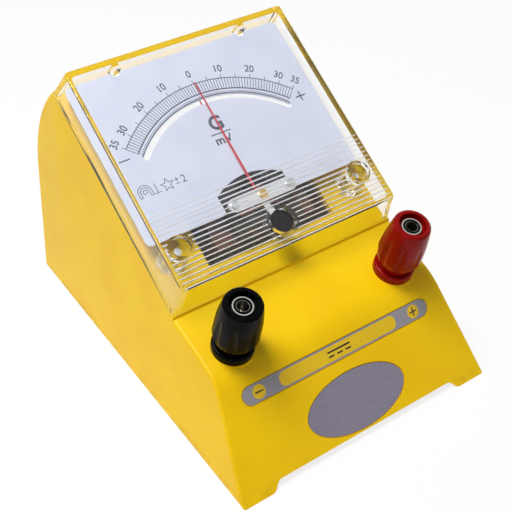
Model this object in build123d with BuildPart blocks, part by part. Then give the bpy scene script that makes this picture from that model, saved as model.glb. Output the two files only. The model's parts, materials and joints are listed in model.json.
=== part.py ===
from build123d import *
from math import acos, atan2, cos, hypot, pi, radians, sin, sqrt, tan
import os

os.makedirs("parts", exist_ok=True)

# A bench galvanometer with a sloping meter panel. Millimetres, X to the right as seen from the
# front, Y to the back, Z up, origin under the middle of the case.

# Case
case_depth = 142.6
top_width = 88.0  # along the slope, shelf and back, the same as the cover
side_flare = 6.45  # each side stands out this much more at the ground
foot_width = top_width + 2 * side_flare
wall = 2.5
slope_angle = 32.57
slope_length = 86.05
shelf_and_front_run = 47.9  # from the front edge back to the slope's foot
slope_foot_y = shelf_and_front_run - case_depth / 2
slope_foot_z = 40.66
shelf_angle = 17.0
shelf_step = 1.0  # the shelf lies this much under the slope's foot
front_angle = 53.3
crease_radius = 15.0
back_radius = 55.6
back_start_angle = 40.0
edge_radius = 1.0
foot_rise = 2.6  # the front edge clears the ground between its two feet
foot_outer_margin = 10.95  # from the ground edge of a side to the front relief
foot_ramp = 5.0
foot_outer_x = foot_width / 2 - foot_outer_margin
foot_inner_x = foot_outer_x - foot_ramp

# Window in the slope, measured from the pivot
window_half_width = 25.0
window_below_pivot = 13.0
window_above_pivot = 19.8

# Base plate and its screws
base_thickness = 2.0
base_recess = 3.2
base_clearance = 0.4
base_boss_radius = 4.0
base_screw_radius = 1.4
base_screw_length = 8.0
base_screw_shank = 7.0
base_screw_head_radius = 2.8
base_screw_head_height = 1.6
base_boss_x = top_width / 2 - 8.0
base_boss_front_y = 22.3 - case_depth / 2
base_boss_back_y = case_depth / 2 - 13.3
thread_clearance = 0.05  # a shank stands this much inside its hole

# Clear cover
cover_height = 13.06
cover_wall = 2.0
cover_side_draft = 1.9
cover_low_draft = 3.4
cover_high_draft = 1.6
cover_corner_radius = 1.5
rib_count = 16
rib_pitch = 1.685
rib_first = 3.8
rib_end_margin = 3.0
rib_half_length = top_width / 2 - rib_end_margin
rib_width = 0.9
rib_height = 0.3
well_margin = 8.7
well_x = top_width / 2 - well_margin
well_s = 16.8
well_radius = 3.4
well_depth = 2.0
pillar_wall = 0.9
lug_x = 24.5
lug_width = 2.4
lug_reach = 3.6
cover_screw_radius = 1.3
cover_screw_length = 7.0
cover_screw_head_radius = 2.6
cover_screw_head_height = 1.6

# Dial
pivot_s = 23.03
dial_side_clearance = 1.0
dial_half_width = top_width / 2 - cover_wall - dial_side_clearance
dial_low_s = 22.5
dial_high_clearance = 1.65
dial_high_s = slope_length - cover_wall - dial_high_clearance
dial_thickness = 0.5
dial_face = 5.42
dial_corner_radius = 2.0
dial_pad_thickness = 0.4
dial_rest_radius = 2.2
dial_rest_inset = 3.2
notch_half_width = 13.0
notch_height = 10.0
notch_arc_radius = 23.0
mirror_radius = 39.3
mirror_swing = 46.0
mirror_slot_width = 2.0
mirror_margin = 1.0
mirror_thickness = 0.3

# Movement, heights measured from the slope along its normal
frame_half_width = 31.0
frame_low = 0.9
frame_high = 25.0
frame_thickness = 2.5
island_height = 4.6
island_low = 10.0
island_clearance = 0.4
island_bore_radius = 8.9
frame_screw_x = 28.0
frame_screw_low = 5.0
frame_screw_high = 21.5
frame_screw_radius = 1.1
frame_screw_length = 7.0
frame_boss_radius = 2.3
frame_boss_length = 7.0
pole_half_width = 13.0
pole_half_length = 10.0
pole_height = 16.5
pole_bore_radius = 8.6
pole_gap = 7.0
core_radius = 6.4
core_height = 14.8
bracket_thickness = 1.2
bracket_half_width = 9.0
bracket_height = 4.5
bracket_arm_width = 3.6
bracket_screw_x = 6.6
bracket_screw_radius = 0.8
bracket_screw_length = 3.2
magnet_leg_width = 6.5
magnet_low = 9.0
magnet_bar_low = 13.2
magnet_bar_width = 6.0
magnet_height = 12.0
pillar_x = 10.9
pillar_radius = 1.2
bridge_width = 5.0
bridge_thickness = 0.8
bridge_overhang = 2.3
bridge_screw_radius = 0.7
upper_bridge_height = 8.75
lower_bridge_drop = 4.5
jewel_screw_radius = 1.5
jewel_screw_length = 2.4
jewel_depth = 0.8

# Moving coil
coil_width = 3.4
former_half_width = 7.4
former_thickness = 0.4
winding_thickness = 0.7
coil_end_clearance = 0.6
staff_radius = 0.6
staff_tip_length = 0.45
pivot_shake = 0.15
hub_radius = 1.8
hub_bottom = 5.9
pointer_bottom = 6.5
pointer_thickness = 0.3
pointer_length = 46.4
pointer_root_width = 0.9
pointer_tip_width = 0.36
pointer_ring_radius = 2.1
arm_length = 8.8
arm_width = 0.7
weight_radius = 0.8
weight_length = 1.3
weight_place = 7.6
tail_weight_place = 7.9
spring_turns = 4
spring_inner_radius = 1.2
spring_outer_radius = 4.2
spring_strip = 0.12
spring_height = 0.5
upper_spring_bottom = 7.2
lower_spring_top = -18.5

# Zero adjuster
zero_s = 11.6
zero_head_radius = 4.0
zero_head_height = 2.0
zero_slot_width = 0.9
zero_slot_depth = 0.8
zero_slot_turn = -16.0
zero_clearance = 0.15
zero_shaft_radius = 1.7
zero_clip_radius = 2.05
zero_clip_height = 0.4
zero_pin_radius = 0.7
zero_pin_offset = 0.9
zero_pin_length = 1.05
collar_radius = 5.5
collar_lip = 0.8
lever_bottom = 8.0
lever_thickness = 0.4
lever_ring_radius = 3.0
lever_arm_width = 2.4
lever_fork_width = 4.6
lever_slot_clearance = 0.25
lever_peg_place = 4.7
lever_peg_radius = 0.35
lever_end = 12.3
lever_bore_clearance = 0.1

# Terminals
post_side_margin = 11.5
post_x = top_width / 2 - post_side_margin
post_from_front = 31.8
post_y = post_from_front - case_depth / 2
collar_foot_radius = 7.0
collar_foot_height = 3.0
collar_waist_radius = 5.5
collar_height = 4.9
cap_gap = 0.1
cap_bottom_radius = 6.25
cap_belly_radius = 7.6
cap_top_radius = 5.9
cap_low_arc_radius = 7.15  # the cap's outline passes here, at these heights above its bottom
cap_low_arc_height = 2.3
cap_belly_height = 6.3
cap_high_arc_radius = 7.25
cap_high_arc_height = 11.8
cap_rim_chamfer = 0.7
cap_foot_chamfer = 0.5
cap_height = 19.6
cap_recess_radius = 4.5
cap_recess_depth = 2.4
flute_count = 8
flute_radius = 2.4
flute_depth = 0.7
insert_radius = 4.6
insert_lip = 1.2
insert_top = 5.6  # under the cap's top
stem_radius = 3.3
stem_clearance = 0.06
socket_radius = 2.0
socket_depth = 16.0
stem_below = 11.5
seat_margin = 0.3  # the case's round seat stands this much outside the terminal's foot
seat_depth = 0.6  # and this much below the shelf's wall
stem_proud = 1.1  # above the cap's recessed face
stem_flange_radius = 4.4
stem_flange_height = 1.0
washer_radius = 5.0
washer_thickness = 0.6
spring_washer_thickness = 1.0
nut_flats = 10.0
nut_height = 3.0
tag_thickness = 0.5
tag_reach = 9.0
tag_width = 4.0
lead_radius = 0.6
lead_bend = 3.0
resistor_radius = 1.2
resistor_length = 7.0

# Front face plates
label_half_width = 37.4
label_height = 6.1
label_up = 31.3
label_thickness = 0.3
badge_half_width = 19.4
badge_half_height = 9.8
badge_up = 13.8
plate_pocket_depth = 0.5  # the plates lie this deep in the front face
plate_pocket_gap = 0.35

# Places worked out from the driving dimensions
back_y = case_depth / 2
front_y = -case_depth / 2
slope_run = slope_length * cos(radians(slope_angle))
slope_rise = slope_length * sin(radians(slope_angle))
crown_y = slope_foot_y + slope_run
crown_z = slope_foot_z + slope_rise
arc_y = crown_y - back_radius * sin(radians(back_start_angle))
arc_z = crown_z - back_radius * cos(radians(back_start_angle))
shelf_back_z = slope_foot_z - shelf_step
shelf_slope = tan(radians(shelf_angle))
front_slope = tan(radians(front_angle))
crease_y = (shelf_back_z - shelf_slope * slope_foot_y + front_slope * front_y) / (front_slope - shelf_slope)
crease_z = front_slope * (crease_y - front_y)
post_z = shelf_back_z + shelf_slope * (post_y - slope_foot_y)

slope = Plane(
    origin=(0, slope_foot_y, slope_foot_z),
    x_dir=(1, 0, 0),
    z_dir=(0, -sin(radians(slope_angle)), cos(radians(slope_angle))),
)
pivot = Plane(origin=slope.from_local_coords((0, pivot_s, 0)), x_dir=slope.x_dir, z_dir=slope.z_dir)
front_face = Plane(
    origin=(0, front_y, 0),
    x_dir=(1, 0, 0),
    z_dir=(0, -sin(radians(front_angle)), cos(radians(front_angle))),
)


def section_at(y):
    # upright plane across the case, with its own Y along the part's Z
    return Plane(origin=(0, y, 0), x_dir=(1, 0, 0), z_dir=(0, -1, 0))


def standing(plane):
    # plane that holds the given plane's X and its normal, for profiles turned about that normal
    return Plane(origin=plane.origin, x_dir=plane.x_dir, z_dir=-plane.y_dir)


def moved(plane, x, y, height=0.0):
    # the same plane with its origin at a place given in its own coordinates
    place = plane.from_local_coords((x, y, height))
    return Plane(origin=place, x_dir=plane.x_dir, z_dir=plane.z_dir)


def disc(plane, radius, height, hole=0.0):
    # round piece that stands on a plane, with an optional hole through it
    with BuildPart() as piece:
        with BuildSketch(plane):
            Circle(radius)
            if hole > 0:
                Circle(hole, mode=Mode.SUBTRACT)
        extrude(amount=height)
    return piece.part


def slotted_screw(plane, shank_radius, shank_length, head_radius, head_height):
    # cheese-head screw: the head stands on the plane and the shank goes down through it
    with BuildPart() as screw:
        with BuildSketch(plane):
            Circle(shank_radius)
        extrude(amount=-shank_length)
        with BuildSketch(plane):
            Circle(head_radius)
        extrude(amount=head_height)
        with BuildSketch(plane.offset(head_height / 2)):
            Rectangle(2.2 * head_radius, 0.3 * head_radius)
        extrude(amount=head_height, mode=Mode.SUBTRACT)
    return screw.part


def save(part, name):
    part.label = name
    export_step(part, "parts/" + name + ".step")


def save_group(pieces, name):
    with BuildPart() as group:
        for piece in pieces:
            add(piece)
    save(group.part, name)


# Case shell
tangent_reach = hypot(back_y - arc_y, arc_z)
tangent_turn = atan2(-arc_z, back_y - arc_y) + acos(back_radius / tangent_reach)
tangent_y = arc_y + back_radius * cos(tangent_turn)
tangent_z = arc_z + back_radius * sin(tangent_turn)
arc_middle_turn = (tangent_turn + pi / 2 - radians(back_start_angle)) / 2
arc_middle_y = arc_y + back_radius * cos(arc_middle_turn)
arc_middle_z = arc_z + back_radius * sin(arc_middle_turn)
cavity_below = 10.0  # the cavity's outline runs on below the ground, so that the case is open there
flank_top = crown_z + 10.0


def case_block(inset, below):
    # the case's outline from the side, run across it and trimmed by the flared sides
    back_lean = (back_y - tangent_y) / tangent_z
    with BuildPart() as flanks:
        for y, edge_z in (
            (front_y - wall, crease_z),
            (crease_y, crease_z),
            (slope_foot_y, slope_foot_z),
            (crown_y, crown_z),
            (back_y + wall, crown_z),
        ):
            flare = (foot_width - top_width) / 2 / edge_z
            low_half = foot_width / 2 + flare * below - inset
            high_half = foot_width / 2 - flare * flank_top - inset
            with BuildSketch(section_at(y)):
                with BuildLine():
                    Polyline(
                        (-low_half, -below),
                        (low_half, -below),
                        (high_half, flank_top),
                        (-high_half, flank_top),
                        close=True,
                    )
                make_face()
        loft(ruled=True)
    with BuildPart() as block:
        with BuildSketch(Plane.YZ) as outline:
            with BuildLine():
                Line((back_y + back_lean * below, -below), (tangent_y, tangent_z))
                ThreePointArc((tangent_y, tangent_z), (arc_middle_y, arc_middle_z), (crown_y, crown_z))
                Polyline(
                    (crown_y, crown_z),
                    (slope_foot_y, slope_foot_z),
                    (slope_foot_y, shelf_back_z),
                    (crease_y, crease_z),
                    (front_y - below / front_slope, -below),
                    (back_y + back_lean * below, -below),
                )
            make_face()
            fillet(outline.vertices().sort_by_distance((crease_y, crease_z, 0))[0], crease_radius)
            if inset > 0:
                offset(amount=-inset, kind=Kind.INTERSECTION, mode=Mode.REPLACE)
        extrude(amount=foot_width, both=True)
        add(flanks.part, mode=Mode.INTERSECT)
    return block.part


case_outer = case_block(0, 0)
case_cavity = case_block(wall, cavity_below)
base_boss_places = [
    (x, y) for x in (-base_boss_x, base_boss_x) for y in (base_boss_front_y, base_boss_back_y)
]
base_top = base_recess + base_thickness
frame_screw_places = [
    (x, s) for x in (-frame_screw_x, frame_screw_x) for s in (frame_screw_low, frame_screw_high)
]
dial_rest_x = dial_half_width - dial_rest_inset
dial_rest_places = [
    (x, s)
    for x in (-dial_rest_x, dial_rest_x)
    for s in (dial_low_s + dial_rest_inset, dial_high_s - dial_rest_inset)
]
dial_rest_height = dial_face - dial_thickness - dial_pad_thickness

with BuildPart() as base_bosses:
    with BuildSketch(Plane.XY.offset(base_top)):
        with Locations(base_boss_places):
            Circle(base_boss_radius)
    extrude(amount=crown_z)
    add(case_outer, mode=Mode.INTERSECT)

post_plane_tilt = (0, -sin(radians(shelf_angle)), cos(radians(shelf_angle)))
post_planes = {
    "black": Plane(origin=(-post_x, post_y, post_z), x_dir=(1, 0, 0), z_dir=post_plane_tilt),
    "red": Plane(origin=(post_x, post_y, post_z), x_dir=(1, 0, 0), z_dir=post_plane_tilt),
}

with BuildPart() as case_shell:
    add(case_outer)
    rim_edges = [
        edge
        for edge in case_shell.edges()
        if abs(edge.center().X) > top_width / 2 - 1
        and abs((edge @ 0).Y - (edge @ 1).Y) > 1
        and not slope_foot_y - 1 < edge.center().Y < crown_y + 1
    ]
    fillet(rim_edges, edge_radius)
    add(case_cavity, mode=Mode.SUBTRACT)
    add(base_bosses.part)
    with BuildSketch(Plane.XY.offset(base_top)):
        with Locations(base_boss_places):
            Circle(base_screw_radius)
    extrude(amount=base_screw_length, mode=Mode.SUBTRACT)
    with BuildSketch(section_at(front_y - wall)) as front_relief:
        with BuildLine():
            Spline((-foot_outer_x, 0), (-foot_inner_x, foot_rise), tangents=[(1, 0), (1, 0)])
            Line((-foot_inner_x, foot_rise), (foot_inner_x, foot_rise))
            Spline((foot_inner_x, foot_rise), (foot_outer_x, 0), tangents=[(1, 0), (1, 0)])
            Polyline((foot_outer_x, 0), (foot_outer_x, -1), (-foot_outer_x, -1), (-foot_outer_x, 0))
        make_face()
    extrude(amount=-4 * wall, mode=Mode.SUBTRACT)
    with BuildSketch(pivot):
        with Locations((0, (window_above_pivot - window_below_pivot) / 2)):
            Rectangle(2 * window_half_width, window_above_pivot + window_below_pivot)
    extrude(amount=1.5 * wall, both=True, mode=Mode.SUBTRACT)
    with BuildSketch(pivot.offset(-wall)):
        with Locations(frame_screw_places):
            Circle(frame_boss_radius)
    extrude(amount=-frame_boss_length)
    with BuildSketch(pivot):
        with Locations(frame_screw_places):
            Circle(frame_screw_radius)
    extrude(amount=-frame_screw_length, mode=Mode.SUBTRACT)
    with BuildSketch(slope):
        with Locations(dial_rest_places):
            Circle(dial_rest_radius)
    extrude(amount=dial_rest_height)
    with BuildSketch(slope):
        with Locations((-well_x, well_s), (well_x, well_s)):
            Circle(cover_screw_radius + zero_clearance)
    extrude(amount=1.5 * wall, both=True, mode=Mode.SUBTRACT)
    for post_plane in post_planes.values():
        with BuildSketch(post_plane):
            Circle(collar_foot_radius + seat_margin)
        extrude(amount=-wall - seat_depth)
        with BuildSketch(post_plane):
            Circle(stem_radius + stem_clearance)
        extrude(amount=1.5 * wall, both=True, mode=Mode.SUBTRACT)
    with BuildSketch(front_face):
        with Locations((0, label_up)):
            RectangleRounded(
                2 * (label_half_width + plate_pocket_gap),
                label_height + 2 * plate_pocket_gap,
                label_height / 2 + plate_pocket_gap - 0.01,
            )
        with Locations((0, badge_up)):
            Ellipse(badge_half_width + plate_pocket_gap, badge_half_height + plate_pocket_gap)
    extrude(amount=-plate_pocket_depth, mode=Mode.SUBTRACT)
save(case_shell.part, "case_shell")

# Base plate, let into the case from below
with BuildPart() as base_plate:
    with BuildSketch(Plane.XY.offset(base_recess)):
        Rectangle(2 * foot_width, 2 * case_depth)
    extrude(amount=base_thickness)
    add(case_block(wall + base_clearance, cavity_below), mode=Mode.INTERSECT)
    with BuildSketch(Plane.XY.offset(base_recess)):
        with Locations(base_boss_places):
            Circle(base_screw_radius + zero_clearance)
    extrude(amount=base_thickness, mode=Mode.SUBTRACT)
save(base_plate.part, "base_plate")

under_base = Plane(origin=(0, 0, base_recess), x_dir=(1, 0, 0), z_dir=(0, 0, -1))
save_group(
    [
        slotted_screw(
            moved(under_base, x, -y),
            base_screw_radius - thread_clearance,
            base_screw_shank,
            base_screw_head_radius,
            base_screw_head_height,
        )
        for x, y in base_boss_places
    ],
    "base_screws",
)

# Clear cover


def cover_block(inset, top_height):
    # tapered box on the slope; the draft of each side is the same at any height
    share = top_height / cover_height
    low = share * cover_low_draft
    high = slope_length - share * cover_high_draft
    with BuildPart() as block:
        with BuildSketch(slope):
            with Locations((0, slope_length / 2)):
                RectangleRounded(
                    top_width - 2 * inset, slope_length - 2 * inset, cover_corner_radius + 0.01
                )
        with BuildSketch(slope.offset(top_height)):
            with Locations((0, (low + high) / 2)):
                RectangleRounded(
                    top_width - 2 * share * cover_side_draft - 2 * inset,
                    high - low - 2 * inset,
                    cover_corner_radius + 0.01,
                )
        loft(ruled=True)
    return block.part


cover_outer = cover_block(0, cover_height)
cover_inner = cover_block(cover_wall, cover_height - cover_wall)
rib_rows = [rib_first + rib_pitch * row for row in range(rib_count)]
zero_plane = moved(slope, 0, zero_s)
collar_bottom = cover_height - cover_wall - 1.96
lip_top = collar_bottom + collar_lip

with BuildPart() as cover_ribs:
    for rib_s in rib_rows:
        with BuildSketch(Plane(origin=slope.from_local_coords((-rib_half_length, rib_s, cover_height)),
                               x_dir=slope.y_dir, z_dir=slope.x_dir)):
            Polygon((-rib_width / 2, -0.2), (rib_width / 2, -0.2), (0, rib_height), align=None)
        extrude(amount=2 * rib_half_length)
    with BuildSketch(slope.offset(cover_height - 1)):
        with Locations((-well_x, well_s), (well_x, well_s)):
            Circle(well_radius + rib_width)
        with Locations((0, zero_s)):
            Circle(collar_radius)
    extrude(amount=3, mode=Mode.SUBTRACT)

with BuildPart() as front_cover:
    add(cover_outer)
    fillet(front_cover.faces().sort_by(Axis(slope.origin, slope.z_dir))[-1].edges(), 0.6)
    add(cover_inner, mode=Mode.SUBTRACT)
    add(cover_ribs.part)
    with BuildSketch(slope):
        with Locations((-well_x, well_s), (well_x, well_s)):
            Circle(well_radius + pillar_wall)
    extrude(amount=cover_height - cover_wall / 2)
    with BuildSketch(slope.offset(cover_height + rib_height)):
        with Locations((-well_x, well_s), (well_x, well_s)):
            Circle(well_radius)
    extrude(amount=-well_depth - rib_height, mode=Mode.SUBTRACT)
    with BuildSketch(slope):
        with Locations((-well_x, well_s), (well_x, well_s)):
            Circle(cover_screw_radius)
    extrude(amount=cover_screw_length, mode=Mode.SUBTRACT)
    with BuildSketch(zero_plane.offset(collar_bottom)):
        Circle(collar_radius)
    extrude(amount=cover_height - collar_bottom)
    with BuildSketch(zero_plane.offset(lip_top)):
        Circle(zero_head_radius + zero_clearance)
    extrude(amount=cover_height, mode=Mode.SUBTRACT)
    with BuildSketch(zero_plane.offset(collar_bottom)):
        Circle(zero_shaft_radius + zero_clearance)
    extrude(amount=cover_height, mode=Mode.SUBTRACT)
    for lug_side in (-lug_x, lug_x):
        with BuildSketch(slope.offset(dial_face)):
            with Locations((lug_side, slope_length - cover_wall - lug_reach / 2)):
                Rectangle(lug_width, lug_reach)
        extrude(amount=cover_height - cover_wall / 2 - dial_face)
save(front_cover.part, "front_cover")

under_slope = Plane(
    origin=slope.from_local_coords((0, 0, -wall)), x_dir=slope.x_dir, z_dir=-slope.z_dir
)
save_group(
    [
        slotted_screw(
            moved(under_slope, x, -well_s),
            cover_screw_radius - thread_clearance,
            cover_screw_length + wall - 0.5,
            cover_screw_head_radius,
            cover_screw_head_height,
        )
        for x in (-well_x, well_x)
    ],
    "cover_screws",
)

# Dial and its pads
dial_bottom = dial_face - dial_thickness
notch_shoulder = notch_height - (notch_arc_radius - sqrt(notch_arc_radius**2 - notch_half_width**2))
mirror_line = CenterArc((0, 0), mirror_radius, 90 - mirror_swing, 2 * mirror_swing)


def arched_outline(half_width, low, shoulder, crown):
    # rectangle with an arched upper end, in the pivot's own coordinates
    Polyline((-half_width, shoulder), (-half_width, low), (half_width, low), (half_width, shoulder))
    ThreePointArc((half_width, shoulder), (0, crown), (-half_width, shoulder))


with BuildPart() as dial_plate:
    with BuildSketch(slope.offset(dial_bottom)):
        with Locations((0, (dial_low_s + dial_high_s) / 2)):
            RectangleRounded(2 * dial_half_width, dial_high_s - dial_low_s, dial_corner_radius)
    extrude(amount=dial_thickness)
    with BuildSketch(pivot.offset(dial_bottom)):
        with BuildLine():
            arched_outline(notch_half_width, -notch_height, notch_shoulder, notch_height)
        make_face()
    extrude(amount=dial_thickness, mode=Mode.SUBTRACT)
    with BuildSketch(pivot.offset(dial_bottom)):
        SlotArc(arc=mirror_line, height=mirror_slot_width)
    extrude(amount=dial_thickness, mode=Mode.SUBTRACT)
save(dial_plate.part, "dial_plate")

with BuildPart() as mirror_strip:
    with BuildSketch(pivot.offset(dial_bottom)):
        SlotArc(arc=mirror_line, height=mirror_slot_width + 2 * mirror_margin)
    extrude(amount=-mirror_thickness)
save(mirror_strip.part, "mirror_strip")

save_group(
    [
        disc(moved(slope, x, s, dial_rest_height), dial_rest_radius, dial_pad_thickness)
        for x, s in dial_rest_places
    ],
    "dial_pads",
)

# Movement frame: a plate across the window with a raised island in the dial's notch
island_half_width = notch_half_width - island_clearance
with BuildPart() as movement_frame:
    with BuildSketch(pivot):
        with Locations((0, (frame_low + frame_high) / 2)):
            RectangleRounded(2 * frame_half_width, frame_high - frame_low, 2.0)
    extrude(amount=frame_thickness)
    with BuildSketch(pivot):
        with BuildLine():
            arched_outline(
                island_half_width, -island_low, notch_shoulder - island_clearance, notch_height - island_clearance
            )
        make_face()
    extrude(amount=island_height)
    with BuildSketch(pivot):
        Circle(island_bore_radius)
        with Locations((-pillar_x, 0), (pillar_x, 0)):
            Circle(pillar_radius + 0.05)
        with Locations(frame_screw_places):
            Circle(frame_screw_radius + 0.1)
    extrude(amount=island_height, mode=Mode.SUBTRACT)
save(movement_frame.part, "movement_frame")

save_group(
    [
        slotted_screw(
            moved(pivot, x, s, frame_thickness), frame_screw_radius - 0.05, frame_screw_length, 2.0, 1.3
        )
        for x, s in frame_screw_places
    ],
    "movement_screws",
)

# Magnetic circuit: pole shoes with a round gap, a core inside it and a horseshoe magnet outside
with BuildPart() as pole_shoes:
    with BuildSketch(pivot):
        Rectangle(2 * pole_half_width, 2 * pole_half_length)
        Circle(pole_bore_radius, mode=Mode.SUBTRACT)
        Rectangle(pole_gap, 2 * pole_half_length, mode=Mode.SUBTRACT)
    extrude(amount=-pole_height)
    with BuildSketch(Plane(origin=pivot.from_local_coords((0, pole_half_length, -pole_height / 2)),
                           x_dir=pivot.x_dir, z_dir=pivot.y_dir)):
        with Locations((-bracket_screw_x, 0), (bracket_screw_x, 0)):
            Circle(bracket_screw_radius)
    extrude(amount=-bracket_screw_length, mode=Mode.SUBTRACT)
save(pole_shoes.part, "pole_shoes")

core_middle = -pole_height / 2
with BuildPart() as core:
    with BuildSketch(pivot.offset(core_middle - core_height / 2)):
        Circle(core_radius)
    extrude(amount=core_height)
    with BuildSketch(Plane(origin=pivot.from_local_coords((0, core_radius, core_middle)),
                           x_dir=pivot.x_dir, z_dir=pivot.y_dir)):
        Circle(bracket_screw_radius)
    extrude(amount=-bracket_screw_length, mode=Mode.SUBTRACT)
save(core.part, "core")

bracket_back = Plane(
    origin=pivot.from_local_coords((0, pole_half_length + bracket_thickness, core_middle)),
    x_dir=pivot.x_dir,
    z_dir=pivot.y_dir,
)
with BuildPart() as core_bracket:
    with BuildSketch(bracket_back):
        Rectangle(2 * bracket_half_width, bracket_height)
    extrude(amount=-bracket_thickness)
    with BuildSketch(bracket_back):
        Rectangle(bracket_arm_width, bracket_height)
    extrude(amount=-(bracket_thickness + pole_half_length - core_radius + 1.0))
    with BuildSketch(pivot.offset(core_middle - core_height / 2)):
        Circle(core_radius)
    extrude(amount=core_height, mode=Mode.SUBTRACT)
    with BuildSketch(bracket_back):
        with Locations((-bracket_screw_x, 0), (0, 0), (bracket_screw_x, 0)):
            Circle(bracket_screw_radius + 0.05)
    extrude(amount=-2 * pole_half_length, mode=Mode.SUBTRACT)
save(core_bracket.part, "core_bracket")

side_screw_shank = bracket_thickness + bracket_screw_length - 0.3
core_screw_shank = bracket_thickness + pole_half_length - core_radius + bracket_screw_length - 0.3
save_group(
    [
        slotted_screw(
            moved(bracket_back, x, 0), bracket_screw_radius - 0.05, shank, 1.4, 0.8
        )
        for x, shank in (
            (-bracket_screw_x, side_screw_shank),
            (0, core_screw_shank),
            (bracket_screw_x, side_screw_shank),
        )
    ],
    "core_screws",
)

magnet_half_width = pole_half_width + magnet_leg_width
with BuildPart() as magnet:
    with BuildSketch(pivot):
        with Locations((0, (magnet_bar_low + magnet_bar_width - magnet_low) / 2)):
            Rectangle(2 * magnet_half_width, magnet_bar_low + magnet_bar_width + magnet_low)
        with Locations((0, (magnet_bar_low - magnet_low) / 2)):
            Rectangle(2 * pole_half_width, magnet_bar_low + magnet_low, mode=Mode.SUBTRACT)
    extrude(amount=-magnet_height)
save(magnet.part, "magnet")

# Bridges on their pillars, with the jewel screws that hold the pivots
lower_bridge_top = -pole_height - lower_bridge_drop
lower_bridge_bottom = lower_bridge_top - bridge_thickness
upper_bridge_top = upper_bridge_height + bridge_thickness
pillar_sides = (-pillar_x, pillar_x)
save_group(
    [disc(moved(pivot, x, 0), pillar_radius, upper_bridge_height, bridge_screw_radius) for x in pillar_sides],
    "upper_pillars",
)
save_group(
    [
        disc(moved(pivot, x, 0, lower_bridge_top), pillar_radius, lower_bridge_drop, bridge_screw_radius)
        for x in pillar_sides
    ],
    "lower_pillars",
)


def bridge(bottom):
    with BuildPart() as strip:
        with BuildSketch(pivot.offset(bottom)):
            SlotOverall(2 * (pillar_x + bridge_overhang), bridge_width)
            Circle(jewel_screw_radius + 0.02, mode=Mode.SUBTRACT)
            with Locations((-pillar_x, 0), (pillar_x, 0)):
                Circle(bridge_screw_radius + 0.05, mode=Mode.SUBTRACT)
        extrude(amount=bridge_thickness)
    return strip.part


save(bridge(upper_bridge_height), "upper_bridge")
save(bridge(lower_bridge_bottom), "lower_bridge")

under_lower_bridge = Plane(
    origin=pivot.from_local_coords((0, 0, lower_bridge_bottom)), x_dir=pivot.x_dir, z_dir=-pivot.z_dir
)
bridge_screw_length = 3.6
save_group(
    [
        slotted_screw(moved(plane, x, 0), bridge_screw_radius - 0.05, bridge_screw_length, 1.4, 0.8)
        for plane in (pivot.offset(upper_bridge_top), under_lower_bridge)
        for x in pillar_sides
    ],
    "bridge_screws",
)


def jewel_screw(mouth_plane):
    # threaded bush with a cone-shaped bearing in the end that faces the pivot
    with BuildPart() as screw:
        with BuildSketch(mouth_plane):
            Circle(jewel_screw_radius)
        extrude(amount=jewel_screw_length)
        with BuildSketch(mouth_plane):
            Circle(staff_radius + 0.2)
        with BuildSketch(mouth_plane.offset(jewel_depth)):
            Circle(0.12)
        loft(mode=Mode.SUBTRACT)
        with BuildSketch(mouth_plane.offset(jewel_screw_length - 0.5)):
            Rectangle(3 * jewel_screw_radius, 0.4)
        extrude(amount=1, mode=Mode.SUBTRACT)
    return screw.part


upper_jewel_mouth = upper_bridge_top - jewel_screw_length + 0.75
lower_jewel_mouth = lower_bridge_bottom + jewel_screw_length - 0.75
lower_mouth_plane = Plane(
    origin=pivot.from_local_coords((0, 0, lower_jewel_mouth)), x_dir=pivot.x_dir, z_dir=-pivot.z_dir
)
save(jewel_screw(pivot.offset(upper_jewel_mouth)), "upper_jewel_screw")
save(jewel_screw(lower_mouth_plane), "lower_jewel_screw")

# Moving coil: former, winding, staffs, hub, pointer and its balance weights
former_top = core_middle + core_height / 2 + coil_end_clearance + former_thickness
former_bottom = core_middle - core_height / 2 - coil_end_clearance - former_thickness
coil_top = former_top + winding_thickness
coil_bottom = former_bottom - winding_thickness
coil_plane = Plane(
    origin=pivot.from_local_coords((0, 0, (former_top + former_bottom) / 2)),
    x_dir=pivot.x_dir,
    z_dir=pivot.y_dir,
)


def coil_frame(half_width, length, thickness):
    with BuildPart() as frame:
        with BuildSketch(coil_plane):
            RectangleRounded(2 * half_width, length, 0.9 + thickness)
            RectangleRounded(
                2 * half_width - 2 * thickness, length - 2 * thickness, 0.9, mode=Mode.SUBTRACT
            )
        extrude(amount=coil_width / 2, both=True)
    return frame.part


save(coil_frame(former_half_width, former_top - former_bottom, former_thickness), "coil_former")
save(
    coil_frame(former_half_width + winding_thickness, coil_top - coil_bottom, winding_thickness),
    "coil_winding",
)


def staff(foot_plane, length):
    # pivot staff with a pointed end; its foot is fixed to the winding's end
    with BuildPart() as piece:
        with BuildSketch(foot_plane):
            Circle(coil_width / 2)
        extrude(amount=0.4)
        with BuildSketch(foot_plane):
            Circle(staff_radius)
        extrude(amount=length - staff_tip_length)
        with BuildSketch(foot_plane.offset(length - staff_tip_length)):
            Circle(staff_radius)
        with BuildSketch(foot_plane.offset(length)):
            Circle(0.1)
        loft()
    return piece.part


under_coil = Plane(
    origin=pivot.from_local_coords((0, 0, coil_bottom)), x_dir=pivot.x_dir, z_dir=-pivot.z_dir
)
upper_staff_length = upper_jewel_mouth + jewel_depth - pivot_shake - coil_top - 0.3
lower_staff_length = coil_bottom - (lower_jewel_mouth - jewel_depth + pivot_shake) - 0.3
save_group(
    [staff(pivot.offset(coil_top), upper_staff_length), staff(under_coil, lower_staff_length)], "staffs"
)

save(
    disc(pivot.offset(hub_bottom), hub_radius, pointer_bottom - hub_bottom, staff_radius + 0.02),
    "pointer_hub",
)

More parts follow.
